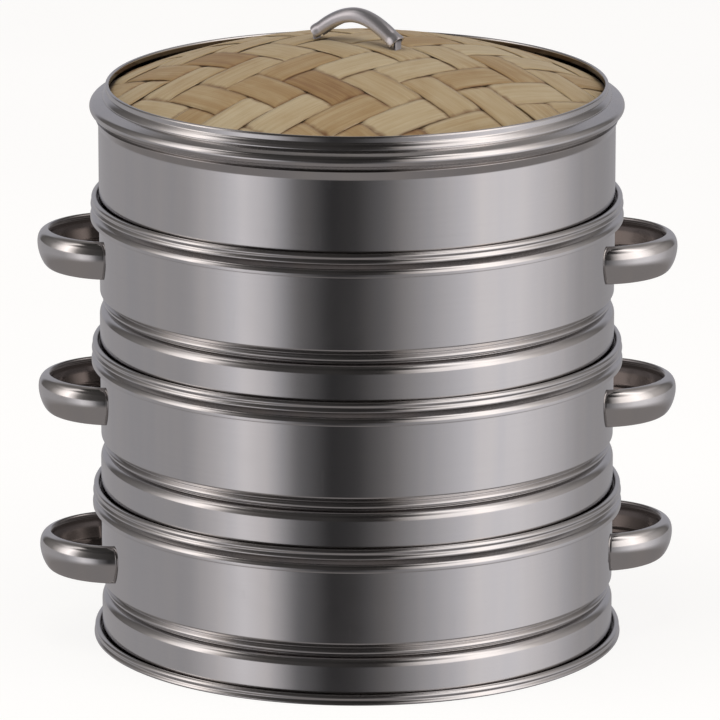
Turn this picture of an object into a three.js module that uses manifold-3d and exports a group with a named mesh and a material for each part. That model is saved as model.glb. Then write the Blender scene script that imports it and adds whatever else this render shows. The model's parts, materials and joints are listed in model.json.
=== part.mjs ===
// A three-tier stainless steel steamer with a domed, woven bamboo lid.
// Millimetres, +Z up. The origin is the centre of the base, on the surface that the steamer stands on.
// The side handles point along X, and the front is towards -Y.
import * as THREE from 'three';
import { mergeVertices } from 'three/addons/utils/BufferGeometryUtils.js';
import Module from 'manifold-3d';

const wasm = await Module();
wasm.setup();

// ---- driving dimensions ----

const sheet = 0.8; // steel thickness
const gap = 0.3; // clearance between touching pieces
const facets = 32; // sides of every round piece

const wallRadius = 130; // outside of the plain walls
const tierPitch = 74.7; // height from one tier's base to the next one's
const hemHeight = 5.2;
const hemRadius = 134.2;
const hemSlot = 1.8; // open width between the hem's curl and the wall
const skirtTop = 18; // where the groove begins
const grooveTop = 31.8;
const grooveRadius = 124.9; // outside radius at the bottom of the groove
const beadStart = 67;
const beadRadius = 134.4;
const collarRadius = 128.3; // outside of the collar that enters the tier above
const collarTop = 83.4;
const tierTurns = [6, -1, -2.5]; // degrees about Z, from the bottom tier to the top one

const lidWallTop = 265;
const lidBeadHeight = 274.4; // height of the centre of the lid's bead
const lidBeadSize = 5.5; // radius of the bead's section
const lidCollarRadius = 127.7;
const lidTop = 286.3;
const rimWidth = 3.3; // width of the rolled rim on the lid's collar

const domeRadius = 320; // radius of curvature of the weave
const domeTop = 306.3;
const weaveRadius = 126; // plan radius of the weave's edge
const outerWeaveThickness = 2.4;
const innerWeaveThickness = 2;

const hoopHeight = 12;
const hoopThickness = 5;

const plateRadius = 126.6;
const plateHoleRadius = 6;
const plateHolePitch = 40;
const plateHoleReach = 105; // holes lie within this radius

const handleReach = 161.6; // furthest point of a side handle from the axis
const handleHalfWidth = 33; // from the middle of a side handle to where its edges meet the wall
const handleExponent = 1.9; // of the superellipse that the band follows; 2 would be an ellipse
const handleBulge = 5.2; // how far the band's middle stands out of its edges
const handleHeight = 19.6;
const handleMiddles = [46.5, 50.8, 50.8]; // heights of the bands above their tiers' bases, from the bottom tier up
const handleSheet = 1.1;
const footLength = 10; // how far each welded foot runs along the wall
const footHeight = 13;
const footOverlap = 3.3; // how far a foot runs past the band's edges, into its hollow

const lidHandleTurn = -34.5; // degrees about Z
const lidHandleSpan = 49; // between the middles of its two tabs
const lidHandleTop = 323.8;
const lidHandleReach = 26.7; // half the length of its crown line
const lidHandleRise = 12.4; // from the ends of its crown line to the top
const lidHandleExponent = 1.9; // of the crown line: 2 would be a parabola
const lidHandleWidth = 7.8;
const lidHandleDepth = 7.2; // depth of its U section
const tabWidth = 5;
const tabThickness = 1.2;
const tabBend = 7; // length of tab that is bent flat under the washer
const washerSize = 15;
const washerThickness = 1;

// ---- materials ----

const steel = (color, roughness) => new THREE.MeshStandardMaterial({ color, roughness, metalness: 1 });
const bamboo = (color) => new THREE.MeshStandardMaterial({ color, roughness: 0.6, metalness: 0 });
const wallSteel = steel('#b7b4b1', 0.16);
const handleSteel = steel('#c2bfbc', 0.12);
const plateSteel = steel('#b9b6b2', 0.3);
const strapSteel = steel('#aaa8ab', 0.3);
const weaveBamboo = bamboo('#d8c297');
const innerBamboo = bamboo('#cdb482');
const hoopBamboo = bamboo('#c9a46c');

// ---- solids ----

function toSolid(geometry) {
  const bare = geometry.clone();
  bare.deleteAttribute('normal');
  bare.deleteAttribute('uv');
  const merged = mergeVertices(bare, 1e-4);
  const mesh = { numProp: 3, vertProperties: merged.attributes.position.array, triVerts: merged.index.array };
  return new wasm.Manifold(new wasm.Mesh(mesh));
}

function toGeometry(solid) {
  const mesh = solid.getMesh();
  const geometry = new THREE.BufferGeometry();
  geometry.setAttribute('position', new THREE.BufferAttribute(new Float32Array(mesh.vertProperties), 3));
  geometry.setIndex(new THREE.BufferAttribute(new Uint32Array(mesh.triVerts), 1));
  geometry.computeVertexNormals();
  return geometry;
}

// Turns a closed outline of [radius, height] corners about Z.
function turned(outline) {
  const corners = outline.map(([radius, height]) => new THREE.Vector2(radius, height));
  const last = corners[corners.length - 1];
  const ring = corners[0].x === 0 && last.x === 0 ? corners : [...corners, corners[0].clone()];
  return new THREE.LatheGeometry(ring, facets).rotateX(Math.PI / 2);
}

function box(sizeX, sizeY, sizeZ, x, y, z) {
  return new THREE.BoxGeometry(sizeX, sizeY, sizeZ).translate(x, y, z);
}

const arcPoint = (radius, height, size, degrees) => [
  radius + size * Math.cos(THREE.MathUtils.degToRad(degrees)),
  height + size * Math.sin(THREE.MathUtils.degToRad(degrees)),
];

// ---- the steel rings ----

// The J-curled hem, from the foot of the wall's inner face, under the curl and back to the wall's outer face.
function hemOutline(base) {
  const curlInside = wallRadius + hemSlot;
  return [
    [wallRadius - sheet, base + 0.8],
    [wallRadius - 0.1, base],
    [hemRadius - 1, base],
    [hemRadius, base + 1.2],
    [hemRadius, base + hemHeight - 1],
    [hemRadius - 0.9, base + hemHeight],
    [curlInside, base + hemHeight - 0.6],
    [curlInside, base + 1.4],
    [wallRadius, base + 1.4],
  ];
}

function tierShell() {
  const inside = wallRadius - sheet;
  const ledge = grooveRadius - sheet;
  return turned([
    ...hemOutline(0),
    [wallRadius, skirtTop],
    [grooveRadius + 0.7, skirtTop + 2.8],
    [grooveRadius, skirtTop + 6.4],
    [grooveRadius + 0.7, grooveTop - 3.8],
    [wallRadius, grooveTop],
    [wallRadius, beadStart],
    [beadRadius - 0.8, beadStart + 1.6],
    [beadRadius, beadStart + 3.8],
    [beadRadius - 1.8, tierPitch - gap - 0.1],
    [collarRadius, tierPitch - gap],
    [collarRadius, collarTop - 0.5],
    [collarRadius - sheet, collarTop],
    [collarRadius - sheet, tierPitch - gap - sheet],
    [beadRadius - 2.4, tierPitch - gap - sheet - 0.1],
    [beadRadius - sheet, beadStart + 3.7],
    [beadRadius - 1.6, beadStart + 2.2],
    [inside, beadStart + 0.7],
    [inside, grooveTop + 0.5],
    [ledge + 0.7, grooveTop - 3.4],
    [ledge, skirtTop + 6.4],
    [ledge + 0.7, skirtTop + 2.4],
    [inside, skirtTop - 0.5],
  ]);
}

function lidRing() {
  const inside = wallRadius - sheet;
  const beadCentre = beadRadius - lidBeadSize;
  const bead = (size, degrees) => arcPoint(beadCentre, lidBeadHeight, size, degrees);
  const rimSize = rimWidth / 2;
  const rim = (degrees) => arcPoint(lidCollarRadius - rimSize, lidTop - rimSize, rimSize, degrees);
  return turned([
    ...hemOutline(3 * tierPitch),
    [wallRadius, lidWallTop],
    ...[-62, -25, 5, 35, 65].map((degrees) => bead(lidBeadSize, degrees)),
    [lidCollarRadius, lidBeadHeight + lidBeadSize],
    ...[0, 60, 120, 180, 235].map(rim),
    [lidCollarRadius - sheet, lidTop - rimWidth],
    [lidCollarRadius - sheet, lidBeadHeight + lidBeadSize - sheet],
    ...[65, 35, 5, -25, -60].map((degrees) => bead(lidBeadSize - sheet, degrees)),
    [inside, lidWallTop + 0.3],
  ]);
}

// ---- the steam plate ----

function steamPlate() {
  const disc = new THREE.Shape(ringPoints(plateRadius, facets, 0, 0));
  const rowHeight = plateHolePitch * Math.sin(Math.PI / 3);
  const rows = Math.floor(plateHoleReach / rowHeight);
  for (let row = -rows; row <= rows; row += 1) {
    const shift = row % 2 === 0 ? 0 : plateHolePitch / 2;
    for (let column = -rows; column <= rows; column += 1) {
      const x = column * plateHolePitch + shift;
      const y = row * rowHeight;
      if (Math.hypot(x, y) > plateHoleReach) continue;
      disc.holes.push(new THREE.Path(ringPoints(plateHoleRadius, 6, x, y)));
    }
  }
  return new THREE.ExtrudeGeometry(disc, { depth: sheet, bevelEnabled: false });
}

function ringPoints(radius, count, x, y) {
  return Array.from({ length: count }, (_, i) => {
    const angle = (i / count) * 2 * Math.PI;
    return new THREE.Vector2(x + radius * Math.cos(angle), y + radius * Math.sin(angle));
  });
}

// ---- the side handles ----

// The line of the band's edges, seen from above: a rounded D that runs out from the wall and back.
class HandleLine extends THREE.Curve {
  getPoint(t, target = new THREE.Vector3()) {
    const angle = (t - 0.5) * Math.PI;
    const root = Math.sqrt(wallRadius ** 2 - handleHalfWidth ** 2) - 2.5;
    const along = Math.max(Math.cos(angle), 0) ** (2 / handleExponent);
    const across = Math.sign(angle) * Math.abs(Math.sin(angle)) ** (2 / handleExponent);
    return target.set(root + (handleReach - handleBulge - root) * along, handleHalfWidth * across, 0);
  }
}

function handleSection() {
  const half = handleHeight / 2;
  const arc = (depth, height, count) => Array.from({ length: count }, (_, i) => {
    const angle = (i / (count - 1) - 0.5) * Math.PI;
    return new THREE.Vector2(height * Math.sin(angle), -depth * Math.cos(angle));
  });
  const outside = arc(handleBulge, half, 7);
  const inside = arc(handleBulge - handleSheet, half - handleSheet, 5).reverse();
  return new THREE.Shape([...outside, ...inside]);
}

function sideHandle() {
  const options = { steps: 16, extrudePath: new HandleLine(), bevelEnabled: false };
  const band = toSolid(new THREE.ExtrudeGeometry(handleSection(), options));
  const wall = toSolid(turned([[0, -20], [wallRadius + gap, -20], [wallRadius + gap, 20], [0, 20]]));
  const footRadius = wallRadius + gap + handleSheet;
  const half = footHeight / 2;
  const skin = toSolid(turned([[0, -half], [footRadius, -half], [footRadius, half], [0, half]]));
  let handle = band;
  for (const side of [-1, 1]) {
    const y = side * (handleHalfWidth + footOverlap - footLength / 2);
    handle = handle.add(skin.intersect(toSolid(box(20, footLength, footHeight, wallRadius - 4, y, 0))));
  }
  return toGeometry(handle.subtract(wall));
}

// ---- the woven dome ----

const domeHeight = (radius, top) => top - domeRadius + Math.sqrt(domeRadius ** 2 - radius ** 2);

function weave(top, thickness) {
  const steps = [0, 0.3, 0.55, 0.8, 1].map((share) => share * weaveRadius);
  const upper = steps.map((radius) => [radius, domeHeight(radius, top)]);
  const lower = upper.map(([radius, height]) => [radius, height - thickness]);
  const dome = toSolid(turned([...lower, ...upper.reverse()]));
  return toGeometry(tabSlots(dome, gap));
}

function hoop() {
  const top = domeHeight(weaveRadius, innerWeaveTop) - innerWeaveThickness - gap;
  const outside = wallRadius - sheet - 3 * gap;
  const inside = outside - hoopThickness;
  return turned([[inside, top - hoopHeight], [outside, top - hoopHeight], [outside, top], [inside, top]]);
}

// ---- the lid handle ----

const innerWeaveTop = domeTop - outerWeaveThickness - gap;
const tabX = lidHandleSpan / 2;
const washerCorner = Math.hypot(tabX + washerSize / 2, washerSize / 2);
const washerTop = domeHeight(washerCorner, innerWeaveTop) - innerWeaveThickness - 2 * gap;
const tabBottom = washerTop - washerThickness - gap - tabThickness;

// Cuts the two slots that the tabs pass through, with a clearance all round.
function tabSlots(solid, clearance) {
  let cut = solid;
  for (const side of [-1, 1]) {
    const slot = box(tabThickness + 2 * clearance, tabWidth + 2 * clearance, 40, side * tabX, 0, domeTop - 10);
    cut = cut.subtract(toSolid(slot));
  }
  return cut;
}

function crownHeight(x) {
  return lidHandleTop - lidHandleRise * (Math.abs(x) / lidHandleReach) ** lidHandleExponent;
}

// The handle's crown line, from one end to the other.
class CrownLine extends THREE.Curve {
  getPoint(t, target = new THREE.Vector3()) {
    const x = lidHandleReach * (2 * t - 1);
    return target.set(x, 0, crownHeight(x));
  }
}

function lidHandle() {
  const half = lidHandleWidth / 2;
  const depth = lidHandleDepth;
  const wall = handleSheet;
  const shoulder = (radius) => [30, 60, 90].map((degrees) => arcPoint(0, half, radius, degrees - 90));
  const oneSide = [...shoulder(half), [half, depth], [half - wall, depth], ...shoulder(half - wall).reverse()];
  const otherSide = oneSide.map(([across, down]) => [-across, down]).reverse();
  const corners = [[0, 0], ...oneSide, [0, wall], ...otherSide];
  const section = new THREE.Shape(corners.map(([x, y]) => new THREE.Vector2(x, y)));
  const options = { steps: 20, extrudePath: new CrownLine(), bevelEnabled: false };
  let handle = toSolid(new THREE.ExtrudeGeometry(section, options));
  for (const side of [-1, 1]) {
    const tabTop = crownHeight(tabX + tabThickness / 2) - 1.5;
    const height = tabTop - tabBottom;
    const tab = box(tabThickness, tabWidth, height, side * tabX, 0, tabBottom + height / 2);
    const bendX = side * (tabX - tabBend / 2 + tabThickness / 2);
    const bend = box(tabBend, tabWidth, tabThickness, bendX, 0, tabBottom + tabThickness / 2);
    handle = handle.add(toSolid(tab)).add(toSolid(bend));
  }
  return toGeometry(handle);
}

function handleWasher(side) {
  const z = washerTop - washerThickness / 2;
  const blank = toSolid(box(washerSize, washerSize, washerThickness, side * tabX, 0, z));
  return toGeometry(tabSlots(blank, gap));
}

// ---- the assembly ----

const steamer = new THREE.Group();

function add(parent, name, geometry, material) {
  const mesh = new THREE.Mesh(geometry, material);
  mesh.name = name;
  parent.add(mesh);
  return mesh;
}

['bottom', 'middle', 'top'].forEach((level, index) => {
  const tier = new THREE.Group();
  tier.position.z = index * tierPitch;
  tier.rotation.z = THREE.MathUtils.degToRad(tierTurns[index]);
  add(tier, `${level}_tier_shell`, tierShell(), wallSteel);
  add(tier, `${level}_steam_plate`, steamPlate(), plateSteel).position.z = grooveTop + gap;
  const handles = { right: 0, left: Math.PI };
  for (const [side, turn] of Object.entries(handles)) {
    const handle = add(tier, `${level}_tier_handle_${side}`, sideHandle(), handleSteel);
    handle.position.z = handleMiddles[index];
    handle.rotation.z = turn;
  }
  steamer.add(tier);
});

add(steamer, 'lid_ring', lidRing(), wallSteel);
const lidTrim = new THREE.Group();
lidTrim.rotation.z = THREE.MathUtils.degToRad(lidHandleTurn);
add(lidTrim, 'lid_weave_outer', weave(domeTop, outerWeaveThickness), weaveBamboo);
add(lidTrim, 'lid_weave_inner', weave(innerWeaveTop, innerWeaveThickness), innerBamboo);
add(lidTrim, 'lid_hoop', hoop(), hoopBamboo);
add(lidTrim, 'lid_handle', lidHandle(), strapSteel);
add(lidTrim, 'lid_handle_washer_front', handleWasher(1), plateSteel);
add(lidTrim, 'lid_handle_washer_back', handleWasher(-1), plateSteel);
steamer.add(lidTrim);

export default steamer;
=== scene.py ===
"""The looks of the three-tier steamer: fine meshes, materials, floor, light and camera."""

import json
import math
import random

import bmesh
import bpy
import numpy as np
from mathutils import Matrix, Vector
from mathutils.geometry import delaunay_2d_cdt


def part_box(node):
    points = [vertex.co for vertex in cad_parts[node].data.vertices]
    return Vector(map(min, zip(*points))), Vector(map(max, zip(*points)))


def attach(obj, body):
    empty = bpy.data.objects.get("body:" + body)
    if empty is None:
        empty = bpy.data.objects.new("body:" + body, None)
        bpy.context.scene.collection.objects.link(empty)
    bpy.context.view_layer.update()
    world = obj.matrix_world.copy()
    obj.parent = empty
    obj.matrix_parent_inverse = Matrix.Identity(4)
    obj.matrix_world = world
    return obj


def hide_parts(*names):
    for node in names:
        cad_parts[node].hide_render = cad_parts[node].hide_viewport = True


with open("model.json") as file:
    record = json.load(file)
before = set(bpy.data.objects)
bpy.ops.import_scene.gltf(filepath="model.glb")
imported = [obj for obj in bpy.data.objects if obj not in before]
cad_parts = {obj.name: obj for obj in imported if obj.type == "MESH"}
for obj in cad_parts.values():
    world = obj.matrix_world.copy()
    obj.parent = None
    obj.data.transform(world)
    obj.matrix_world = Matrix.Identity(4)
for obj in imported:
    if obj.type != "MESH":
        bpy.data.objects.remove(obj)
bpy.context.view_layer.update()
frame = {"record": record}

# ---- driving dimensions, in metres unless a comment says otherwise ----

MM = 0.001
SEGMENTS = 400  # sides of every turned piece

SHEET = 0.8 * MM
WALL_RADIUS = 130 * MM
HEM_RADIUS = 134.2 * MM
HEM_HEIGHT = 5.1 * MM
HEM_SLOT = 1.0 * MM
SKIRT_TOP = 18 * MM
GROOVE_TOP = 31.8 * MM
GROOVE_RADIUS = 124.9 * MM
BEAD_START = 67 * MM
BEAD_RADIUS = 134.4 * MM
BEAD_ROUND = 3.2 * MM
BEAD_TOP = 74.4 * MM
COLLAR_RADIUS = 128.3 * MM
COLLAR_TOP = 83.4 * MM

LID_WALL = 40.9 * MM  # height of the lid's plain wall above the lid's base
LID_BEAD_HEIGHT = 50.3 * MM
LID_COLLAR_RADIUS = 127.7 * MM
LID_RIM_WIDTH = 3.3 * MM

DOME_RADIUS = 320 * MM
WEAVE_RADIUS = 125.9 * MM
WEAVE_ANGLE = 40.0  # degrees from X to the first set of strips
WEAVE_DEPTH = {"lid_weave_outer": 2.4 * MM, "lid_weave_inner": 2.0 * MM}
STRIP_PITCH = 20.3 * MM
STRIP_WIDTH = 20.4 * MM

HANDLE_REACH = 161.6 * MM
HANDLE_HALF_WIDTH = 33 * MM
HANDLE_EXPONENT = 1.9
HANDLE_BULGE = 5.2 * MM
HANDLE_SHEET = 1.1 * MM
HANDLE_STEPS = 72  # sections along the band

STRAP_REACH = 26.7 * MM
STRAP_RISE = 12.4 * MM
STRAP_EXPONENT = 1.9
STRAP_WIDTH = 7.8 * MM
STRAP_DEPTH = 7.2 * MM
TAB_WIDTH = 5 * MM
TAB_THICKNESS = 1.2 * MM
TAB_BEND = 7 * MM
WASHER_SIZE = 15 * MM

LEVELS = ("bottom", "middle", "top")


def frame_top(node):
    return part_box(node)[1].z


def frame_foot(node):
    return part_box(node)[0].z


def frame_middle(node):
    low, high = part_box(node)
    return (low + high) / 2


# ---- node trees ----


class Nodes:
    """A short way to write a node tree."""

    def __init__(self, tree):
        self.tree = tree
        tree.nodes.clear()

    def add(self, kind, inputs=(), **settings):
        node = self.tree.nodes.new(kind)
        for key, value in settings.items():
            setattr(node, key, value)
        for key, value in dict(inputs).items():
            self.put(node.inputs[key], value)
        return node

    def put(self, socket, value):
        if isinstance(value, bpy.types.NodeSocket):
            self.tree.links.new(value, socket)
        else:
            socket.default_value = value

    def math(self, operation, first, second=0.0, clamp=False):
        inputs = {0: first, 1: second}
        return self.add("ShaderNodeMath", inputs, operation=operation, use_clamp=clamp).outputs[0]

    def ramp(self, value, stops):
        """Stops are (place, colour); a single number stands for a grey."""
        node = self.add("ShaderNodeValToRGB", {0: value})
        elements = node.color_ramp.elements
        while len(elements) < len(stops):
            elements.new(0.5)
        for element, (place, colour) in zip(elements, stops):
            element.position = place
            grey = isinstance(colour, (int, float))
            element.color = (colour, colour, colour, 1) if grey else (*colour, 1)
        return node.outputs[0]

    def mix(self, share, first, second, blend="MIX"):
        node = self.add("ShaderNodeMix", {0: share, 6: first, 7: second}, data_type="RGBA", blend_type=blend)
        return node.outputs[2]

    def spread(self, value, low, high, to_low, to_high):
        inputs = {0: value, 1: low, 2: high, 3: to_low, 4: to_high}
        return self.add("ShaderNodeMapRange", inputs).outputs[0]

    def noise(self, vector, scale=1.0, detail=3.0, roughness=0.5, distortion=0.0):
        inputs = {"Vector": vector, "Scale": scale, "Detail": detail, "Roughness": roughness}
        inputs["Distortion"] = distortion
        return self.add("ShaderNodeTexNoise", inputs).outputs[0]

    def stretched(self, vector, x, y, z):
        inputs = {0: vector, 1: (x, y, z)}
        return self.add("ShaderNodeVectorMath", inputs, operation="MULTIPLY").outputs[0]

    def combine(self, x, y, z):
        return self.add("ShaderNodeCombineXYZ", {0: x, 1: y, 2: z}).outputs[0]


def new_material(name):
    material = bpy.data.materials.new(name)
    material.use_nodes = True
    return material, Nodes(material.node_tree)


def slot_color(slot):
    row = next(m for m in frame["record"]["materials"] if m["slot"] == slot)
    return Vector(row["base_color"])


# ---- steel ----


def steel(name, slot, roughness, line_depth=0.02, wear=0.5, lines=4200.0, metallic=1.0, corner_shade=1.0):
    """Polished or satin stainless steel with fine turned lines, soft streaks, scratches and smudges.

    lines is how many noise cells a metre has across the turned lines, and wear is from 0 to 1. A shade
    attribute rises to 1 on the handles' inner faces, the lid's inner rim face and the crease under its bead,
    and there it paints shade into the colour. The last argument, from 0 to 1, sets how much ambient-occlusion
    shade is painted into tight corners."""
    material, n = new_material(name)
    place = n.add("ShaderNodeTexCoord").outputs["Object"]
    x, y, z = n.add("ShaderNodeSeparateXYZ", {0: place}).outputs
    radius = n.math("SQRT", n.math("ADD", n.math("MULTIPLY", x, x), n.math("MULTIPLY", y, y)))
    across = n.math("MULTIPLY", n.math("ADD", radius, z), lines)
    turned = n.combine(n.math("MULTIPLY", x, 14.0), n.math("MULTIPLY", y, 14.0), across)
    grain = n.noise(turned, detail=3.0, roughness=0.6)
    streaks = n.noise(n.stretched(place, 60.0, 60.0, 3.0), detail=2.0, roughness=0.55)
    smudges = n.noise(place, scale=20.0, detail=4.0, roughness=0.6, distortion=0.6)
    scratch_place = n.stretched(place, 500.0, 500.0, 70.0)
    scratches = n.ramp(n.noise(scratch_place, detail=1.0), [(0.0, 0.0), (0.7, 0.0), (0.76, 1.0)])
    base = slot_color(slot)
    cool = tuple(base * 0.97 + Vector((-0.008, -0.004, 0.012)))
    warm = tuple(base * 1.03 + Vector((0.012, 0.0, -0.004)))
    color = n.mix(n.spread(streaks, 0.3, 0.7, 0.0, 1.0), (*cool, 1), (*warm, 1))
    color = n.mix(n.spread(grain, 0.3, 0.7, 0.06, 0.0), color, (0.3, 0.29, 0.28, 1))
    # Painted shade: this attribute darkens the handles' inner faces and the lid's inner rim face and bead
    # crease.
    painted_shade = n.add("ShaderNodeAttribute", attribute_name="painted_shade", attribute_type="GEOMETRY").outputs["Fac"]
    color = n.mix(n.math("MULTIPLY", painted_shade, 0.9), color, (0.1, 0.078, 0.068, 1))
    # Painted shade: ambient occlusion darkens the colour in tight corners and crevices.
    open_sky = n.add("ShaderNodeAmbientOcclusion", {"Distance": 4 * MM}, samples=6).outputs["AO"]
    corner_shade_color = n.ramp(open_sky, [(0.0, (0.05, 0.042, 0.038)), (0.2, (0.12, 0.1, 0.09)), (0.62, (1, 1, 1))])
    color = n.mix(corner_shade, color, corner_shade_color, "MULTIPLY")
    rough_grain = n.spread(grain, 0.25, 0.75, roughness * 0.92, roughness * 1.08)
    rough_smudge = n.spread(smudges, 0.45, 0.75, 0.0, 0.08 * wear)
    rough = n.math("ADD", rough_grain, rough_smudge)
    rough = n.math("ADD", rough, n.math("MULTIPLY", scratches, 0.06 * wear), clamp=True)
    height = n.math("ADD", grain, n.math("MULTIPLY", scratches, -0.5 * wear))
    height = n.math("ADD", height, n.math("MULTIPLY", streaks, 1.5))
    bump = n.add("ShaderNodeBump", {"Strength": line_depth, "Distance": 0.2 * MM, "Height": height})
    shader = n.add("ShaderNodeBsdfPrincipled", {
        "Base Color": color, "Metallic": metallic, "Roughness": rough, "Normal": bump.outputs[0],
    })
    n.add("ShaderNodeOutputMaterial", {0: shader.outputs[0]})
    return material


# ---- bamboo ----


def strip_bamboo(name, tones, roughness=0.55):
    """Split bamboo, with painted shade laid on by the strips' own attributes.

    grain is the place in the strip in metres, tone picks a colour from tones, edge rises to 1 at a
    strip's long edges, dive rises to 1 where a strip goes down under its neighbour, and rim rises to 1 at
    the strip's ends, which sit in the dark under the lid's rolled edge."""
    material, n = new_material(name)

    def attribute(label, output):
        return n.add("ShaderNodeAttribute", attribute_name=label, attribute_type="GEOMETRY").outputs[output]

    grain = attribute("grain", "Vector")
    tone = attribute("tone", "Fac")
    edge = attribute("edge", "Fac")
    dive = attribute("dive", "Fac")
    fibres = n.noise(n.stretched(grain, 26.0, 1900.0, 1.0), detail=4.0, roughness=0.7)
    bands = n.noise(n.stretched(grain, 9.0, 330.0, 1.0), detail=2.0)
    patches = n.noise(n.stretched(grain, 38.0, 90.0, 1.0), detail=3.0, distortion=0.8)
    specks = n.ramp(
        n.noise(n.stretched(grain, 160.0, 2600.0, 1.0), detail=2.0), [(0.0, 0.0), (0.66, 0.0), (0.8, 1.0)])
    shade = n.math("ADD", tone, n.spread(bands, 0.3, 0.7, -0.12, 0.12))
    shade = n.math("ADD", shade, n.spread(patches, 0.3, 0.7, -0.1, 0.12))
    shade = n.math("ADD", shade, n.spread(fibres, 0.3, 0.7, -0.12, 0.12), clamp=True)
    color = n.ramp(shade, tones)
    color = n.mix(n.math("MULTIPLY", specks, 0.45), color, (0.21, 0.125, 0.06, 1))
    along_edge = n.noise(n.stretched(grain, 55.0, 12.0, 7.0), detail=2.0)
    # Dark brown lines along the strips' long edges: partly dirt in the splits and partly painted shade
    # between strips.
    border = n.ramp(edge, [(0.0, 0.0), (0.9, 0.0), (1.0, 1.0)])
    edge_dirt_and_shade = n.math("MULTIPLY", border, n.spread(along_edge, 0.46, 0.64, 0.0, 0.7))
    color = n.mix(edge_dirt_and_shade, color, (0.17, 0.075, 0.03, 1))
    pale_edge = n.math("MULTIPLY", border, n.spread(along_edge, 0.36, 0.46, 0.55, 0.0))
    color = n.mix(pale_edge, color, (0.7, 0.58, 0.4, 1))
    # Painted shade where a strip dives under its neighbour, broken up by noise.
    shade_breakup = n.noise(n.stretched(grain, 70.0, 160.0, 3.0), detail=3.0)
    shadow = n.math("ADD", dive, n.spread(shade_breakup, 0.3, 0.7, -0.22, 0.22))
    under = n.math("MULTIPLY", n.ramp(shadow, [(0.0, 0.0), (0.45, 0.0), (1.0, 1.0)]), 0.8)
    color = n.mix(under, color, (0.15, 0.065, 0.025, 1))
    # Painted shade on the strips' ends, which tuck under the lid's rolled edge.
    color = n.mix(n.math("MULTIPLY", attribute("rim", "Fac"), 0.9), color, (0.045, 0.025, 0.014, 1))
    rough = n.spread(fibres, 0.2, 0.8, roughness - 0.08, roughness + 0.14)
    height = n.math("ADD", fibres, n.math("MULTIPLY", bands, 1.5))
    bump = n.add("ShaderNodeBump", {"Strength": 0.35, "Distance": 0.25 * MM, "Height": height})
    shader = n.add("ShaderNodeBsdfPrincipled", {
        "Base Color": color, "Roughness": rough, "Normal": bump.outputs[0],
        "Specular IOR Level": 0.35, "Sheen Weight": 0.08,
    })
    n.add("ShaderNodeOutputMaterial", {0: shader.outputs[0]})
    return material


def bent_bamboo(name, slot):
    """Bamboo bent into a ring, with its fibres running round the ring."""
    material, n = new_material(name)
    place = n.add("ShaderNodeTexCoord").outputs["Object"]
    x, y, z = n.add("ShaderNodeSeparateXYZ", {0: place}).outputs
    radius = n.math("SQRT", n.math("ADD", n.math("MULTIPLY", x, x), n.math("MULTIPLY", y, y)))
    across = n.math("ADD", z, n.math("MULTIPLY", radius, 0.6))
    fibres = n.noise(
        n.combine(n.math("MULTIPLY", x, 14), n.math("MULTIPLY", y, 14), n.math("MULTIPLY", across, 1600)),
        detail=4.0, roughness=0.7)
    patches = n.noise(place, scale=30.0, detail=3.0)
    base = slot_color(slot)
    shade = n.math("ADD", n.math("MULTIPLY", fibres, 0.6), n.math("MULTIPLY", patches, 0.4))
    color = n.ramp(shade, [
        (0.25, tuple(base * 0.45)), (0.45, tuple(base * 0.8)), (0.6, tuple(base)), (0.8, tuple(base * 1.15))])
    bump = n.add("ShaderNodeBump", {"Strength": 0.4, "Distance": 0.25 * MM, "Height": fibres})
    shader = n.add("ShaderNodeBsdfPrincipled", {
        "Base Color": color, "Roughness": n.spread(fibres, 0.2, 0.8, 0.45, 0.65),
        "Normal": bump.outputs[0], "Specular IOR Level": 0.35,
    })
    n.add("ShaderNodeOutputMaterial", {0: shader.outputs[0]})
    return material


# ---- mesh building ----


def make_object(name, points, faces, material, body, replaces=(), slot=None, attributes=None):
    """A smooth closed piece that rides on a CAD body and stands for CAD nodes."""
    mesh = bpy.data.meshes.new(name)
    mesh.from_pydata([tuple(p) for p in points], [], faces)
    for label, values in (attributes or {}).items():
        kind = "FLOAT_VECTOR" if np.ndim(values) == 2 else "FLOAT"
        layer = mesh.attributes.new(label, kind, "POINT")
        layer.data.foreach_set("vector" if kind == "FLOAT_VECTOR" else "value", np.ravel(values))
    mesh.update()
    edit = bmesh.new()
    edit.from_mesh(mesh)
    bmesh.ops.recalc_face_normals(edit, faces=edit.faces)
    edit.to_mesh(mesh)
    edit.free()
    mesh.shade_smooth()
    obj = bpy.data.objects.new(name, mesh)
    bpy.context.scene.collection.objects.link(obj)
    mesh.materials.append(material)
    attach(obj, body)
    if replaces:
        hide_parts(*replaces)
    return obj


def grid_faces(rows, columns, start=0, wrap_rows=False, wrap_columns=False):
    faces = []
    for i in range(rows if wrap_rows else rows - 1):
        for j in range(columns if wrap_columns else columns - 1):
            a = start + i * columns + j
            b = start + i * columns + (j + 1) % columns
            c = start + (i + 1) % rows * columns + (j + 1) % columns
            d = start + (i + 1) % rows * columns + j
            faces.append((a, b, c, d))
    return faces


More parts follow.
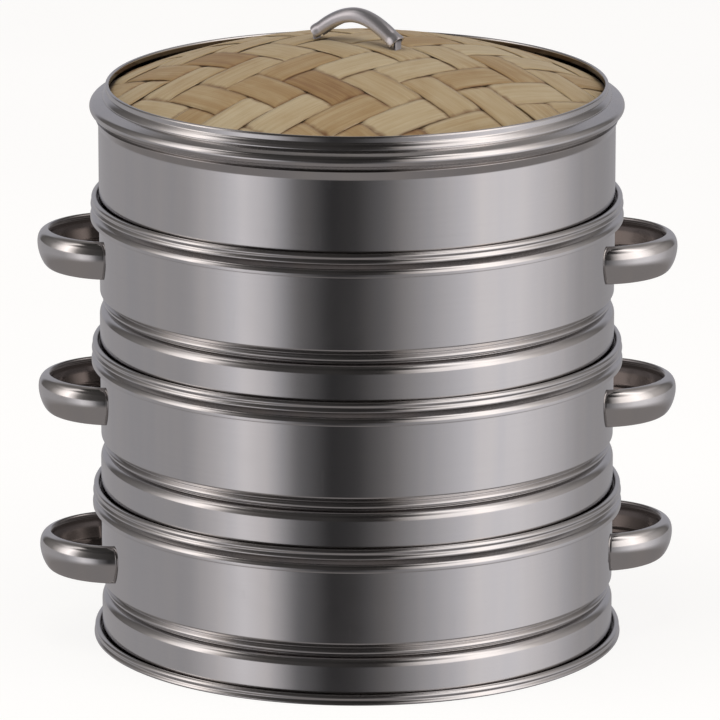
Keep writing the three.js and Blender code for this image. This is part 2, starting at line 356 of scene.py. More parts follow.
def rounded(corners, arc_step=12.0, support=0.25 * MM):
    """A closed outline through corners of (x, y, fillet); each fillet is an arc, held by a support point."""
    outline = []
    count = len(corners)
    for index, (x, y, fillet) in enumerate(corners):
        here = Vector((x, y))
        back = Vector(corners[index - 1][:2]) - here
        ahead = Vector(corners[(index + 1) % count][:2]) - here
        a, b = back.normalized(), ahead.normalized()
        half = a.angle(b) / 2
        if fillet <= 0 or half > math.radians(89):
            outline.append(here)
            continue
        reach = min(fillet / math.tan(half), back.length * 0.49, ahead.length * 0.49)
        radius = reach * math.tan(half)
        centre = here + (a + b).normalized() * (radius / math.sin(half))
        start = here + a * reach - centre
        side = 1 if a.x * b.y - a.y * b.x < 0 else -1
        turn = math.pi - 2 * half
        steps = max(2, math.ceil(math.degrees(turn) / arc_step))
        if back.length / 2 - reach > support:
            outline.append(here + a * (reach + support))
        for step in range(steps + 1):
            angle = side * turn * step / steps
            c, s = math.cos(angle), math.sin(angle)
            outline.append(centre + Vector((start.x * c - start.y * s, start.x * s + start.y * c)))
        if ahead.length / 2 - reach > support:
            outline.append(here + b * (reach + support))
    return outline


def lathe(name, outline, material, body, **links):
    """Turns a closed outline of (radius, height) about Z."""
    angles = np.linspace(0, 2 * math.pi, SEGMENTS, endpoint=False)
    points = [(p[0] * math.cos(a), p[0] * math.sin(a), p[1]) for p in outline for a in angles]
    faces = grid_faces(len(outline), SEGMENTS, wrap_rows=True, wrap_columns=True)
    return make_object(name, points, faces, material, body, **links)


def flat_piece(name, outer, holes, low, high, material, body, **links):
    """A flat piece between two heights, with holes through it; loops are lists of (x, y)."""
    points, edges = [], []
    for loop in (outer, *holes):
        first = len(points)
        points += [Vector(p) for p in loop]
        edges += [(first + i, first + (i + 1) % len(loop)) for i in range(len(loop))]
    flat, _, triangles, *_ = delaunay_2d_cdt(points, edges, [], 2, 1e-7)
    kept = [t for t in triangles if not any(inside(centre_of(flat, t), hole) for hole in holes)]
    count = len(flat)
    solid = [(p.x, p.y, low) for p in flat] + [(p.x, p.y, high) for p in flat]
    faces = [tuple(reversed(t)) for t in kept] + [tuple(i + count for i in t) for t in kept]
    seen = {}
    for t in kept:
        for a, b in zip(t, (*t[1:], t[0])):
            seen[(a, b)] = True
    for a, b in list(seen):
        if (b, a) not in seen:
            faces.append((a, b, b + count, a + count))
    obj = make_object(name, solid, faces, material, body, **links)
    obj.data.set_sharp_from_angle(angle=math.radians(40))
    return obj


def centre_of(points, face):
    return sum((points[i] for i in face), Vector((0, 0))) / len(face)


def inside(point, loop):
    found = False
    for (x1, y1), (x2, y2) in zip(loop, (*loop[1:], loop[0])):
        if (y1 > point.y) != (y2 > point.y) and point.x < (x2 - x1) * (point.y - y1) / (y2 - y1) + x1:
            found = not found
    return found


def circle(x, y, radius, count):
    turns = np.linspace(0, 2 * math.pi, count, endpoint=False)
    return [(x + radius * math.cos(t), y + radius * math.sin(t)) for t in turns]


def sweep(name, sections, material, body, **links):
    """A closed solid through sections, each a closed loop of points with the same count."""
    count = len(sections[0])
    points = [p for section in sections for p in section]
    faces = grid_faces(len(sections), count, wrap_columns=True)
    last = (len(sections) - 1) * count
    faces += [tuple(range(count)), tuple(range(last, last + count))]
    return make_object(name, points, faces, material, body, **links)


# ---- the steel tiers ----


def arc(radius, height, size, start, stop, count=9):
    """Points round an arc of a section, from one normal elevation to another, in degrees."""
    turns = [math.radians(start + (stop - start) * i / (count - 1)) for i in range(count)]
    return [(radius + size * math.cos(t), height + size * math.sin(t), 0) for t in turns]


def hem_corners():
    """The curled hem, from the wall's inside, over its two ridges and down the slot to the wall."""
    return [
        (WALL_RADIUS - SHEET, 0, 1.0 * MM),
        (HEM_RADIUS - 0.2 * MM, 0, 0.3 * MM),
        *arc(HEM_RADIUS - 1.8 * MM, 0.5 * MM, 1.8 * MM, -10, 50, count=7),
        *arc(HEM_RADIUS - 1.95 * MM, HEM_HEIGHT - 1.55 * MM, 1.55 * MM, -38, 145, count=16),
        (WALL_RADIUS + HEM_SLOT, 1.6 * MM, 0.4 * MM),
        (WALL_RADIUS, 1.6 * MM, 0.4 * MM),
    ]


def shell_outline():
    inside_radius = WALL_RADIUS - SHEET
    ledge = GROOVE_RADIUS - SHEET
    bead_inside = BEAD_RADIUS - SHEET
    skirt_round = 4.8 * MM
    return rounded([
        *hem_corners(),
        *arc(WALL_RADIUS - skirt_round, SKIRT_TOP, skirt_round, 0, 74, count=12),
        (WALL_RADIUS - 4.5 * MM, GROOVE_TOP - 8.4 * MM, 0.7 * MM),
        *arc(WALL_RADIUS - 3.1 * MM, GROOVE_TOP - 6.3 * MM, 1.4 * MM, -50, 62, count=9),
        (WALL_RADIUS - 3.3 * MM, GROOVE_TOP - 4.2 * MM, 0.3 * MM),
        (WALL_RADIUS - 0.2 * MM, GROOVE_TOP - 1.6 * MM, 1.1 * MM),
        (WALL_RADIUS, BEAD_START + 0.9 * MM, 0.3 * MM),
        (BEAD_RADIUS - 0.1 * MM, BEAD_START + 0.9 * MM, 0.2 * MM),
        *arc(BEAD_RADIUS - BEAD_ROUND, BEAD_START + 2.3 * MM, BEAD_ROUND, 0, 62, count=10),
        (BEAD_RADIUS - 2.9 * MM, BEAD_TOP, 0.5 * MM),
        (COLLAR_RADIUS, BEAD_TOP, 0.5 * MM),
        (COLLAR_RADIUS, COLLAR_TOP, 0.38 * MM),
        (COLLAR_RADIUS - SHEET, COLLAR_TOP, 0.38 * MM),
        (COLLAR_RADIUS - SHEET, BEAD_TOP - SHEET, 0.6 * MM),
        (bead_inside - 3.2 * MM, BEAD_TOP - 1.6 * MM, 1.2 * MM),
        (bead_inside, BEAD_START + 3.4 * MM, 1.1 * MM),
        (bead_inside - 0.6 * MM, BEAD_START + 1.8 * MM, 0.6 * MM),
        (inside_radius, BEAD_START + 1.7 * MM, 0.6 * MM),
        (inside_radius, GROOVE_TOP + 0.4 * MM, 2.0 * MM),
        (ledge + 2.6 * MM, GROOVE_TOP - 2.2 * MM, 0.9 * MM),
        (ledge + 0.2 * MM, GROOVE_TOP - 6.1 * MM, 3.0 * MM),
        (ledge, SKIRT_TOP + 4.4 * MM, 3.0 * MM),
        (inside_radius, SKIRT_TOP - 0.4 * MM, 2.0 * MM),
    ])


def lid_outline():
    """Wall, cove, bead and a round shoulder that ends in a small rolled rim; the inside follows it."""
    inside_radius = WALL_RADIUS - SHEET
    top = frame_top("lid_ring") - frame_foot("lid_ring")
    bead = BEAD_RADIUS - BEAD_ROUND
    height = LID_BEAD_HEIGHT + 0.4 * MM
    shoulder = LID_COLLAR_RADIUS - 5.0 * MM
    rim_round = 0.95 * MM
    rim = LID_COLLAR_RADIUS - LID_RIM_WIDTH + rim_round
    crease = height - 4.7 * MM
    return rounded([
        (inside_radius, LID_WALL, 1.5 * MM),
        *hem_corners(),
        (WALL_RADIUS, LID_WALL + 0.6 * MM, 3.0 * MM),
        (WALL_RADIUS + 1.6 * MM, crease - 0.6 * MM, 0.1 * MM),
        (WALL_RADIUS + 1.0 * MM, crease - 0.1 * MM, 0.15 * MM),
        (WALL_RADIUS + 1.6 * MM, crease + 0.5 * MM, 0.2 * MM),
        *arc(bead, height, BEAD_ROUND, -60, 60, count=17),
        (LID_COLLAR_RADIUS + 0.2 * MM, height + 4.6 * MM, 0.4 * MM),
        *arc(shoulder, height + 4.0 * MM, 5.4 * MM, 12, 48, count=9),
        (rim + 0.9 * MM, height + 8.3 * MM, 0.15 * MM),
        *arc(rim, top - rim_round, rim_round, 0, 190, count=17),
        (rim - rim_round, top - LID_RIM_WIDTH, 0.5 * MM),
        (rim + 0.3 * MM, top - LID_RIM_WIDTH - 0.5 * MM, 0.4 * MM),
        (LID_COLLAR_RADIUS - SHEET, top - LID_RIM_WIDTH - 2.7 * MM, 0.8 * MM),
        (LID_COLLAR_RADIUS - SHEET, height + 4.1 * MM, 0.6 * MM),
        *arc(bead, height, BEAD_ROUND - SHEET, 55, -55, count=13),
        (WALL_RADIUS - 0.3 * MM, crease, 0.4 * MM),
    ])


def rim_shade(radius, height):
    """How much painted shade: 1 on the inner face of the lid's rolled edge, below its top, and less in the
    crease under the bead.
    """
    inner_face = radius < LID_COLLAR_RADIUS - LID_RIM_WIDTH + 0.9 * MM
    crease = frame_foot("lid_ring") + LID_BEAD_HEIGHT - 4.4 * MM
    if abs(height - crease) < 0.3 * MM:
        return 0.75
    return 1.0 if inner_face and height < frame_top("lid_ring") - 1.0 * MM else 0.0


def raised(outline, height):
    return [(p[0], p[1] + height) for p in outline]


# ---- the steam plates ----


def steam_plate(level, material):
    node = f"{level}_steam_plate"
    low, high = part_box(node)
    pitch, hole_radius, reach = 14.5 * MM, 3.1 * MM, 112 * MM
    row_height = pitch * math.sin(math.pi / 3)
    rows = int(reach / row_height)
    holes = []
    for row in range(-rows, rows + 1):
        for column in range(-rows - 1, rows + 2):
            x = (column + (row % 2) / 2) * pitch
            y = row * row_height
            if math.hypot(x, y) < reach:
                holes.append(circle(x, y, hole_radius, 16))
    outer = circle(0, 0, high.x, 160)
    flat_piece(f"{level}_perforated_plate", outer, holes, low.z, high.z, material,
               f"{level}_plate", replaces=[node], slot="plate_steel")


# ---- the side handles ----


def handle_track(share):
    """A point of the band's edge line and its outward direction, in the handle's own plane."""
    def point(t):
        angle = (t - 0.5) * math.pi
        along = max(math.cos(angle), 0) ** (2 / HANDLE_EXPONENT)
        across = math.copysign(abs(math.sin(angle)) ** (2 / HANDLE_EXPONENT), angle)
        root = math.sqrt(WALL_RADIUS**2 - HANDLE_HALF_WIDTH**2) - 2.5 * MM
        return Vector((root + (HANDLE_REACH - HANDLE_BULGE - root) * along, HANDLE_HALF_WIDTH * across))

    step = 1e-4
    tangent = point(min(share + step, 1)) - point(max(share - step, 0))
    return point(share), Vector((tangent.y, -tangent.x)).normalized()


def handle_section(height):
    """The band's C section as (outward, up), with folded edges and its fullest line above the middle."""
    half = height / 2
    fold = 3.4 * MM
    fold_layers = 1.75
    sharpness, lean = 1.25, 0.27
    steps = 24
    outer = []
    for step in range(steps + 1):
        a = math.radians(-90 + 180 * step / steps)
        up = half * (math.sin(a) + lean * math.cos(a) ** 2)
        outer.append(Vector((HANDLE_BULGE * math.cos(a) ** sharpness, up)))
    inner = []
    for index, p in enumerate(outer):
        before, after = outer[max(index - 1, 0)], outer[min(index + 1, steps)]
        along = (after - before).normalized()
        normal = Vector((-along.y, along.x))
        layers = fold_layers if half - abs(p.y) < fold else 1.0
        inner.append(p + normal * HANDLE_SHEET * layers)
    return [*outer, *reversed(inner)]


def side_handle(level, side, material):
    node = f"{level}_tier_handle_{side}"
    middle = frame_middle(node)
    turn = math.atan2(middle.y, middle.x)
    section = handle_section(frame_top(node) - frame_foot(node))
    wall = WALL_RADIUS + 0.05 * MM
    shares = [0.5 - 0.5 * math.cos(math.pi * i / 96) for i in range(97)]
    tracks = []
    for corner in section:
        track = []
        for share in shares:
            point, outward = handle_track(share)
            track.append(point + outward * corner.x)
        tracks.append(clip_to_wall(track, wall, HANDLE_STEPS))
    spin = Matrix.Rotation(turn, 3, "Z")
    sections = []
    for i in range(HANDLE_STEPS):
        ring = [spin @ Vector((*tracks[k][i], section[k].y)) + Vector((0, 0, middle.z))
                for k in range(len(section))]
        sections.append(ring)
    # Painted shade: the band's inner half is marked 1 in the steel's shade attribute, which darkens it.
    band = sweep(f"{level}_handle_{side}", sections, material, f"{level}_tier",
                 replaces=[node], slot="handle_steel",
                 attributes={"painted_shade": np.tile(np.repeat([0.0, 1.0], len(section) // 2), len(sections))})
    band.visible_glossy = False
    for where, end in (("front", -1), ("back", 1)):
        handle_foot(f"{level}_handle_{side}_foot_{where}", spin, middle.z, end, material, level)


def clip_to_wall(track, wall, count):
    """The part of a track outside the wall, as count points spread along it."""
    points = [p for p in track if p.length > wall]
    first, last = track.index(points[0]), track.index(points[-1])

    def crossing(a, b):
        share = (wall - a.length) / (b.length - a.length)
        return a.lerp(b, share)

    if first > 0:
        points.insert(0, crossing(track[first - 1], track[first]))
    if last < len(track) - 1:
        points.append(crossing(track[last + 1], track[last]))
    lengths = np.concatenate([[0], np.cumsum([(b - a).length for a, b in zip(points, points[1:])])])
    wanted = np.linspace(0, lengths[-1], count)
    xs = np.interp(wanted, lengths, [p.x for p in points])
    ys = np.interp(wanted, lengths, [p.y for p in points])
    return [Vector((x, y)) for x, y in zip(xs, ys)]


def handle_foot(name, spin, height, end, material, level):
    """A thin pad that lies on the wall where the band is welded to it."""
    half_width, half_height = 4.2 * MM, 6.5 * MM
    centre = end * (HANDLE_HALF_WIDTH - 4.5 * MM)
    squareness = 0.45
    steps = 48

    def softened(value):
        return math.copysign(abs(value) ** squareness, value)

    rings = []
    for out, shrink in ((0.05 * MM, 0.0), (0.75 * MM, 0.0), (1.15 * MM, 0.35 * MM), (1.3 * MM, 1.2 * MM)):
        ring = []
        for step in range(steps):
            a = 2 * math.pi * step / steps
            y = softened(math.cos(a)) * (half_width - shrink) + centre
            z = softened(math.sin(a)) * (half_height - shrink)
            x = math.sqrt((WALL_RADIUS + out) ** 2 - y * y)
            ring.append(spin @ Vector((x, y, z)) + Vector((0, 0, height)))
        rings.append(ring)
    sweep(name, rings, material, f"{level}_tier", slot="handle_steel")


# ---- the woven dome ----


def smooth_step(value):
    t = np.clip(value, 0, 1)
    return t * t * (3 - 2 * t)


def weave_layer(name, node, body, material, slot, tone_of, seed, thickness, turn, shift):
    """A dome woven in a two over two twill, from two crossed sets of strips."""
    depth = WEAVE_DEPTH[node]
    swing = (depth - thickness) / 2
    middle = frame_top(node) - depth / 2
    rng = random.Random(seed)
    spin = Matrix.Rotation(math.radians(turn), 2)
    points, faces = [], []
    marks = {"grain": [], "tone": [], "edge": [], "dive": [], "rim": []}
    reach = int(WEAVE_RADIUS / STRIP_PITCH) + 2
    for direction in (0, 1):
        for index in range(-reach, reach + 1):
            centre = shift[direction] + index * STRIP_PITCH + rng.uniform(-0.25, 0.25) * MM
            half = STRIP_WIDTH / 2 * rng.uniform(0.965, 1.01)
            if abs(centre) + half * 0.2 > WEAVE_RADIUS:
                continue
            low_edge = max(centre - half, -WEAVE_RADIUS + 0.4 * MM)
            high_edge = min(centre + half, WEAVE_RADIUS - 0.4 * MM)
            add_strip(points, faces, marks, direction, index, low_edge, high_edge, middle, swing,
                      thickness, shift, spin, rng, tone_of(direction, index))
    make_object(name, points, faces, material, body, replaces=[node], slot=slot,
                attributes={k: np.array(v, np.float32) for k, v in marks.items()})


def over(direction, index, crossing):
    """1 where a strip lies over the one that it crosses, and -1 where it lies under it."""
    first_on_top = (index + crossing) % 4 in (0, 1)
    return 1.0 if first_on_top == (direction == 0) else -1.0


def level_along(direction, index, along, shift):
    """How high a strip runs, from -1 to 1, at each place along it."""
    other = shift[1 - direction]
    crossing = (along - other) / STRIP_PITCH
    cell = np.floor(crossing + 0.5)
    into = crossing - cell + 0.5
    here = np.array([over(direction, index, int(c)) for c in cell])
    before = np.array([over(direction, index, int(c) - 1) for c in cell])
    after = np.array([over(direction, index, int(c) + 1) for c in cell])
    slope = 0.28
    start = smooth_step(into / (2 * slope) + 0.5)
    end = smooth_step((into - 1) / (2 * slope) + 0.5)
    value = before + (here - before) * start
    return np.where(into > 0.5, here + (after - here) * end, value)


def add_strip(points, faces, marks, direction, index, low_edge, high_edge, middle, swing,
              thickness, shift, spin, rng, tone):
    across_count = 9
    length_count = int(2 * WEAVE_RADIUS / (1.6 * MM))
    crown_height = 0.1 * MM
    skew = rng.uniform(-0.007, 0.007)
    tilt = rng.choice((-1, 1)) * rng.uniform(0.06, 0.14) * MM
    waves = [(rng.uniform(0.0, 0.22) * MM, rng.uniform(20, 60), rng.uniform(0, 6.28)) for _ in range(4)]
    grain_origin = (rng.uniform(0, 3), rng.uniform(0, 3))
    tip = rng.uniform(0.0, 0.9) * MM
    centre = (low_edge + high_edge) / 2
    first = len(points)
    profile = np.linspace(-1, 1, across_count)
    t = np.linspace(-1, 1, length_count)
    sides = []
    for s in profile:
        across = centre + s * (high_edge - low_edge) / 2
        limit = math.sqrt(max(WEAVE_RADIUS**2 - across**2, 1e-8)) - tip * (1 - s * s)
        along = t * limit
        wobble = sum(a * np.sin(f * along + p) for a, f, p in waves[:2]) * (0.5 + 0.5 * s)
        wobble = wobble + sum(a * np.sin(f * along + p) for a, f, p in waves[2:]) * (0.5 - 0.5 * s)
        side = across + wobble + skew * along
        radius = np.hypot(along, side)
        side = np.where(radius > WEAVE_RADIUS, side * WEAVE_RADIUS / np.maximum(radius, 1e-9), side)
        radius = np.minimum(np.hypot(along, side), WEAVE_RADIUS)
        level = level_along(direction, index, along, shift)
        crown = crown_height * (1 - s * s)
        height = middle - DOME_RADIUS + np.sqrt(DOME_RADIUS**2 - radius**2) + swing * level + tilt * s
        sides.append((along, side, height, level, crown, s))
    for surface in (1, -1):
        for along, side, height, level, crown, s in sides:
            thick = thickness / 2 * (1 - 0.5 * abs(s) ** 10)
            lift = height + surface * thick + (crown - crown_height) * surface * 0.9
            flat = np.stack([along, side] if direction == 0 else [side, along])
            turned = np.array(spin) @ flat
            points.extend(zip(turned[0], turned[1], lift))
            marks["grain"].extend(
                (grain_origin[0] + a, grain_origin[1] + w, index * 0.37 + direction)
                for a, w in zip(along, side))
            marks["tone"].extend([tone] * length_count)
            marks["edge"].extend([abs(s)] * length_count)
            marks["dive"].extend(np.clip(1.0 - np.abs(level), 0, 1))
            marks["rim"].extend(smooth_step((np.hypot(along, side) / WEAVE_RADIUS - 0.965) / 0.025))
    loop = [*range(across_count), *reversed(range(across_count, 2 * across_count))]
    count = len(loop)
    for k in range(count):
        a, b = loop[k] * length_count + first, loop[(k + 1) % count] * length_count + first
        for i in range(length_count - 1):
            faces.append((a + i, a + i + 1, b + i + 1, b + i))
    for i in (0, length_count - 1):
        for k in range(across_count - 1):
            a, b = first + k * length_count + i, first + (k + 1) * length_count + i
            c, d = a + across_count * length_count, b + across_count * length_count
            faces.append((a, b, d, c))


def outer_tone(direction, index):
    """Strip tones, from 0, pale cream, to 1, brown."""
    if direction == 0:
        return {1: 0.55, 0: 0.12, -1: 0.15, -2: 0.5, -3: 0.18}.get(index, 0.3)
    return {-1: 0.85, -2: 0.6, -3: 0.5, 4: 0.55}.get(index, 0.3)


def inner_tone(direction, index):
    return 0.35 + 0.12 * ((index * 7 + direction * 3) % 5 - 2) / 2


def hoop(material):
    """Two bent bamboo bands, one inside the other, under the edge of the weave."""
    low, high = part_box("lid_hoop")
    outside = 128.2 * MM
    band = 2.35 * MM
    gap = 0.25 * MM
    for name, radius, foot, top in (
        ("lid_hoop_outer_band", outside, low.z, high.z),
        ("lid_hoop_inner_band", outside - band - gap, low.z + 1.2 * MM, high.z - 0.6 * MM),
    ):
        corners = [(radius - band, foot, 0.7 * MM), (radius, foot, 0.7 * MM),
                   (radius, top, 0.7 * MM), (radius - band, top, 0.7 * MM)]
        links = {"replaces": ["lid_hoop"]} if name == "lid_hoop_outer_band" else {}
        lathe(name, rounded(corners), material, "lid", slot="hoop_bamboo", **links)


# ---- the lid's strap handle ----


def strap_handle(material, washer_material):
    front = frame_middle("lid_handle_washer_front")
    spin = Matrix.Rotation(math.atan2(front.y, front.x), 3, "Z")
    tab_x = math.hypot(front.x, front.y)
    top = frame_top("lid_handle")

    def crown(x):
        return top - STRAP_RISE * (abs(x) / STRAP_REACH) ** STRAP_EXPONENT

    sections = []
    for step in range(97):
        x = STRAP_REACH * math.sin(math.pi / 2 * (step / 48 - 1))
        ahead = 0.01 * MM
        tangent = Vector((2 * ahead, 0, crown(x + ahead) - crown(x - ahead))).normalized()
        inward = Vector((tangent.z, 0, -tangent.x))
        end = float(smooth_step((abs(x) / STRAP_REACH - 0.86) / 0.14))
        sections.append([
            spin @ (Vector((x, across * (1 + 0.16 * end), crown(x))) + inward * (down - 0.5 * MM * end))
            for across, down in strap_section()])
    sweep("lid_strap", sections, material, "lid", replaces=["lid_handle"], slot="strap_steel")
    tab_top = crown(tab_x + TAB_THICKNESS / 2) - 1.5 * MM
    for where, side in (("front", 1), ("back", -1)):
        strap_tab(f"lid_strap_tab_{where}", side, tab_x, tab_top, frame_foot("lid_handle"), spin, material)
        washer(where, side, tab_x, spin, washer_material)


def strap_section():
    """The handle's U section as (across, down), with its lower edges curled in."""
    half, thick = STRAP_WIDTH / 2, 1.1 * MM
    low = STRAP_DEPTH - 1.5 * MM
    outer = [(half * math.sin(a), half - half * math.cos(a)) for a in np.linspace(0, math.pi / 2, 9)]
    outer.append((half, low - 0.6 * MM))
    curl = [(half - 1.5 * MM + 1.5 * MM * math.cos(a), low + 1.5 * MM * math.sin(a))
            for a in np.linspace(0, math.pi * 0.5, 6)]
    inner_curl = [(half - 1.5 * MM + 0.4 * MM * math.cos(a), low + 0.4 * MM * math.sin(a))
                  for a in np.linspace(math.pi * 0.5, 0, 4)]
    inner_half = half - thick
    inner = [(inner_half * math.sin(a), half - inner_half * math.cos(a))
             for a in np.linspace(math.pi / 2, 0, 9)]
    one_side = [*outer, *curl, *inner_curl, *inner]
    return [*one_side, *((-across, down) for across, down in reversed(one_side[1:-1]))]


def strap_tab(name, side, tab_x, high, low, spin, material):
    """A tongue of the strap that passes through the weave and is bent over under the washer."""
    out, inner = tab_x + TAB_THICKNESS / 2, tab_x - TAB_THICKNESS / 2
    outline = rounded([
        (out, high, 0), (inner, high, 0), (inner, low + TAB_THICKNESS, 0.5 * MM),
        (out - TAB_BEND, low + TAB_THICKNESS, 0.3 * MM), (out - TAB_BEND, low, 0.3 * MM),
        (out, low, 1.5 * MM),
    ])
    half = TAB_WIDTH / 2
    sections = []
    for y, shrink in ((-half, 0.25), (0.2 * MM - half, 0.0), (half - 0.2 * MM, 0.0), (half, 0.25)):
        centre = Vector((tab_x, high))
        ring = [p + (centre - p).normalized() * shrink * 0.3 * MM for p in outline]
        sections.append([spin @ Vector((side * p.x, y, p.y)) for p in ring])
    sweep(name, sections, material, "lid", slot="strap_steel")


def washer(where, side, tab_x, spin, material):
    node = f"lid_handle_washer_{where}"
    low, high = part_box(node)
    half = WASHER_SIZE / 2
    clear = 0.3 * MM

    def placed(corners):
        return [tuple((spin @ Vector((side * tab_x + p.x, p.y, 0)))[:2]) for p in rounded(corners)]

    def rectangle(x, y, fillet):
        return placed([(-x, -y, fillet), (x, -y, fillet), (x, y, fillet), (-x, y, fillet)])

    outer = rectangle(half, half, 2 * MM)
    slot = rectangle(TAB_THICKNESS / 2 + clear, TAB_WIDTH / 2 + clear, 0.3 * MM)
    flat_piece(f"lid_washer_{where}", outer, [slot], low.z, high.z, material, "lid",
               replaces=[node], slot="plate_steel")


# ---- the stage ----


def add_camera():
    """Aimed at the stack from the front and a little above."""
    distance, height, pitch = 3557.4 * MM, 1061.5 * MM, 14.497
    data = bpy.data.cameras.new("camera")
    data.lens = 362.6
    data.sensor_width = 36
    data.clip_end = 100
    camera = bpy.data.objects.new("camera", data)
    camera.location = (1.5 * MM, -distance, height)
    camera.rotation_euler = (math.radians(90 - pitch), 0, 0)
    bpy.context.scene.collection.objects.link(camera)
    bpy.context.scene.camera = camera


def add_floor():
    material, n = new_material("pale_floor")
    place = n.add("ShaderNodeTexCoord").outputs["Object"]
    mottle = n.spread(n.noise(place, scale=3.0), 0.3, 0.7, 0.0, 1.0)
    color = n.mix(mottle, (0.19, 0.188, 0.185, 1), (0.21, 0.208, 0.205, 1))
    shader = n.add("ShaderNodeBsdfPrincipled", {
        "Base Color": color, "Roughness": 0.9, "Specular IOR Level": 0.1,
        "Emission Color": (1, 0.993, 0.982, 1), "Emission Strength": 0.86,
    })
    n.add("ShaderNodeOutputMaterial", {0: shader.outputs[0]})
    mesh = bpy.data.meshes.new("floor")
    rim = circle(0, 0, 12.0, 96)
    mesh.from_pydata([(x, y, 0) for x, y in rim], [], [tuple(range(len(rim)))])
    floor = bpy.data.objects.new("floor", mesh)
    mesh.materials.append(material)
    bpy.context.scene.collection.objects.link(floor)
    floor.visible_glossy = False


def add_world():
    """A studio with a large soft panel on each side of a dark front, a dark ceiling and a pale backdrop."""
    world = bpy.data.worlds.new("studio")
    world.use_nodes = True
    bpy.context.scene.world = world
    n = Nodes(world.node_tree)
    direction = n.add("ShaderNodeTexCoord").outputs["Generated"]
    x, y, z = n.add("ShaderNodeSeparateXYZ", {0: direction}).outputs
    azimuth = n.math("ARCTAN2", x, n.math("MULTIPLY", y, -1.0))
    share = n.math("ADD", n.math("DIVIDE", azimuth, 2 * math.pi), 0.5)

    def around(stops, strength=1.0, tint=(1.03, 0.965, 0.94)):
        """Light by azimuth, in degrees to the right of the front; strength lifts it past 1."""
        ramp = n.ramp(share, [(0.5 + degrees / 360, value) for degrees, value in stops])
        return n.mix(1.0, ramp, (*(strength * part for part in tint), 1), "MULTIPLY")

    panel_strength = 1.7
    backdrop = (0.214, 0.226, 0.251)
    table = around([
        (-180, 0.37), (-82, 0.37), (-66, 0.56), (-52, 0.82), (-40, 0.63), (-27, 0.17), (-12, 0.03),
        (0, 0.05), (14, 0.16), (34, 0.47), (56, 0.82), (76, 0.84), (95, 0.66), (118, 0.4), (140, 0.34),
        (180, 0.36)], tint=(1.02, 0.99, 1.02))
    eye_level = around([
        (-180, backdrop), (-150, backdrop), (-141, 0.06), (-126, 0.09), (-110, 0.13), (-98, 0.3),
        (-89, 0.65), (-76, 0.98), (-69, 0.62), (-59, 0.15), (-50, 0.07), (-40, 0.04), (0, 0.018),
        (14, 0.02), (24, 0.3), (33, 0.62), (42, 0.75), (60, 0.95), (74, 0.75), (90, 0.33), (120, 0.15),
        (138, 0.08), (150, backdrop), (180, backdrop)], panel_strength)
    upper = around([
        (-180, 0.15), (-140, 0.08), (-128, 0.1), (-115, 0.2), (-104, 0.4), (-92, 0.7), (-82, 0.25),
        (-73, 0.05), (-60, 0.035), (0, 0.012), (30, 0.012), (45, 0.3), (60, 0.8), (73, 0.98), (80, 0.9),
        (93, 0.42), (105, 0.35), (115, 0.3), (133, 0.16), (180, 0.15)], panel_strength)
    light = n.mix(n.spread(z, 0.52, 0.66, 0.0, 1.0), eye_level, upper)
    ceiling = n.math("SUBTRACT", z, n.math("MULTIPLY", x, 0.1))
    light = n.mix(n.spread(ceiling, 0.9, 0.93, 0.0, 1.0), light, (0.04, 0.038, 0.036, 1))
    below = n.mix(n.spread(z, -0.48, -0.33, 0.0, 1.0), (0.235, 0.218, 0.215, 1), table)
    light = n.mix(n.spread(z, -0.085, -0.055, 0.0, 1.0), below, light)
    seen = n.add("ShaderNodeLightPath").outputs["Is Camera Ray"]
    light = n.mix(seen, light, (0.97, 0.965, 0.955, 1))
    background = n.add("ShaderNodeBackground", {0: light, 1: 1.0})
    n.add("ShaderNodeOutputWorld", {0: background.outputs[0]})


def add_light(name, place, size, power):
    data = bpy.data.lights.new(name, "AREA")
    data.shape = "DISK"
    data.size = size
    data.energy = power
    data.color = (1.0, 0.985, 0.965)
    light = bpy.data.objects.new(name, data)
    light.location = place
    light.rotation_euler = (-Vector(place)).to_track_quat("-Z", "Y").to_euler()
    light.visible_glossy = False
    bpy.context.scene.collection.objects.link(light)


# ---- the object ----

bpy.context.scene.view_settings.view_transform = "Standard"
add_camera()
add_floor()
add_world()
add_light("overhead", (-0.5, -0.5, 2.4), 1.8, 24)

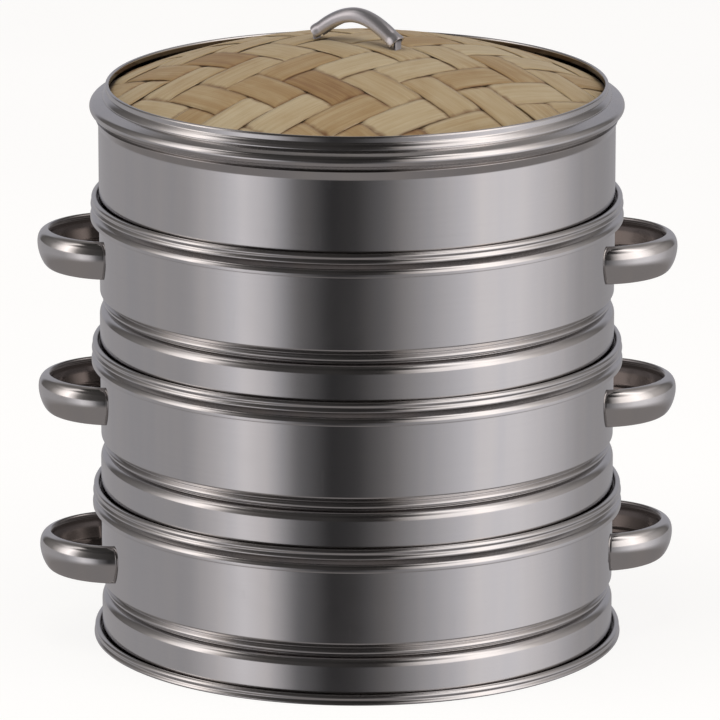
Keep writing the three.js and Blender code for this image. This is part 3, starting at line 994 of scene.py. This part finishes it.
tier_steel = steel("tier_steel", "tier_steel", roughness=0.14, line_depth=0.008)
handle_steel = steel("handle_steel", "handle_steel", roughness=0.12, line_depth=0.012, corner_shade=0.25)
plate_steel = steel("plate_steel", "plate_steel", roughness=0.3, line_depth=0.04)
strap_steel = steel("strap_steel", "strap_steel", roughness=0.3, line_depth=0.04, metallic=0.85)
weave_bamboo = strip_bamboo("weave_bamboo", [
    (0.0, (0.56, 0.465, 0.30)), (0.3, (0.48, 0.37, 0.215)), (0.6, (0.385, 0.26, 0.125)),
    (0.85, (0.33, 0.208, 0.092)), (1.0, (0.265, 0.15, 0.064))])
inner_bamboo = strip_bamboo("inner_bamboo", [
    (0.0, (0.55, 0.43, 0.25)), (0.5, (0.43, 0.30, 0.15)), (1.0, (0.3, 0.17, 0.07))])
hoop_bamboo = bent_bamboo("hoop_bamboo", "hoop_bamboo")

for level in LEVELS:
    shell = f"{level}_tier_shell"
    lathe(f"{level}_tier_steel", raised(shell_outline(), frame_foot(shell)), tier_steel, f"{level}_tier",
          replaces=[shell], slot="tier_steel")
    steam_plate(level, plate_steel)
    side_handle(level, "left", handle_steel)
    side_handle(level, "right", handle_steel)

lid_profile = raised(lid_outline(), frame_foot("lid_ring"))
# Painted shade on the lid's inner rim face and in the crease under the bead, from rim_shade.
lathe("lid_steel", lid_profile, tier_steel, "lid", replaces=["lid_ring"], slot="tier_steel",
      attributes={"painted_shade": np.repeat([rim_shade(*p) for p in lid_profile], SEGMENTS)})
weave_layer("lid_strips_outer", "lid_weave_outer", "lid", weave_bamboo, "weave_bamboo", outer_tone,
            seed=3, thickness=0.9 * MM, turn=WEAVE_ANGLE, shift=(-29.8 * MM, -34.65 * MM))
weave_layer("lid_strips_inner", "lid_weave_inner", "lid", inner_bamboo, "inner_bamboo", inner_tone,
            seed=8, thickness=0.8 * MM, turn=WEAVE_ANGLE + 45, shift=(-3 * MM, 4 * MM))
hoop(hoop_bamboo)
strap_handle(strap_steel, plate_steel)
